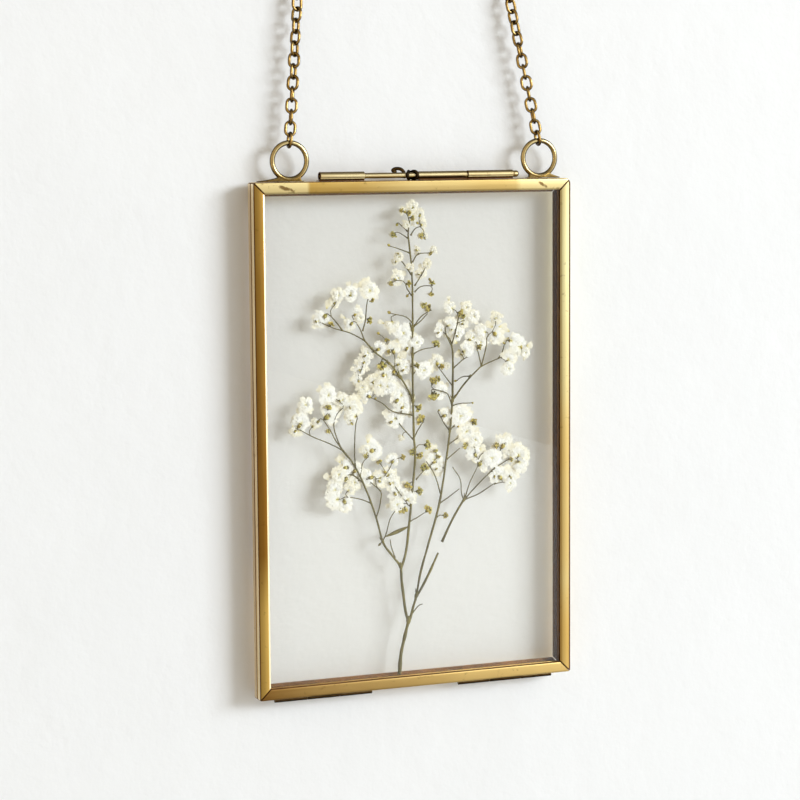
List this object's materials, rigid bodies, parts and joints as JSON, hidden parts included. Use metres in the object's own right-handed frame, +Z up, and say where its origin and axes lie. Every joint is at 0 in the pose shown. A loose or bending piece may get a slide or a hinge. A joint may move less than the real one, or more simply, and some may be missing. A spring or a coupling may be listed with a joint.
{
  "type": "pressed flower frame",
  "caption": "Hanging double-glass frame of thin mitred brass channel with a pressed gypsophila spray between its panes, pin-closed on top and hinged below.",
  "frame": {"origin": "the hanging point: on the frame's centre plane, midway in height and depth between the centres of the two end rings that the chain strands finish in", "axes": "+X to the right as the frame is looked at, -Y out of its front, +Z up"},
  "size_m": [0.1064, 0.0168, 0.2358],
  "materials": {
    "brass": "aged, hand-brushed, darker in the corners",
    "chain_brass": "bright round wire, tarnished in the bends",
    "dark_brass": "oxidised nearly black",
    "glass": "clear float glass",
    "stalk": "dried olive-brown stalk",
    "petal": "dried white petals, papery"
  },
  "bodies": {
    "back_half": {"back_rail_left": "brass", "back_rail_right": "brass", "back_rail_top": "brass", "back_rail_bottom": "brass", "back_glass": "glass", "closing_barrel_a": "brass", "closing_barrel_c": "brass", "tether_eye": "dark_brass", "tether_link_1": "dark_brass", "tether_link_2": "dark_brass", "hinge_left_back_knuckle_outer": "brass", "hinge_left_back_knuckle_inner": "brass", "hinge_left_pin": "brass", "hinge_right_back_knuckle_outer": "brass", "hinge_right_back_knuckle_inner": "brass", "hinge_right_pin": "brass", "ring_left": "brass", "ring_right": "brass", "chain_left": "chain_brass", "chain_right": "chain_brass", "hang_ring_left": "brass", "hang_ring_right": "brass", "stem_base": "stalk", "stem_left_lower": "stalk", "stem_left_upper": "stalk", "stem_centre_lower": "stalk", "stem_centre_upper": "stalk", "stem_right_lower": "stalk", "stem_tall": "stalk", "stem_tall_upper": "stalk", "stem_broken_stub": "stalk", "stem_outer": "stalk", "branch_upper_left": "stalk", "branch_upper_right": "stalk", "blooms_top": "petal", "blooms_upper_left": "petal", "blooms_centre": "petal", "blooms_upper_right": "petal", "blooms_left": "petal", "blooms_lower_left": "petal", "blooms_right": "petal", "blooms_lower_right": "petal"},
    "front_half": {"front_rail_left": "brass", "front_rail_right": "brass", "front_rail_top": "brass", "front_rail_bottom": "brass", "front_glass": "glass", "closing_barrel_b": "brass", "hinge_left_front_knuckle_middle": "brass", "hinge_right_front_knuckle_middle": "brass"},
    "pin": {"closing_pin": "brass"}
  },
  "joints": [
    {"name": "front_half_hinge", "type": "hinge", "parent": "back_half", "child": "front_half", "pos_m": [0, -0.0121, -0.23072], "axis": [1, 0, 0], "range_deg": [0, 180]},
    {"name": "closing_pin_slide", "type": "slide", "parent": "back_half", "child": "pin", "axis": [1, 0, 0], "range_m": [0, 0.06]}
  ]
}
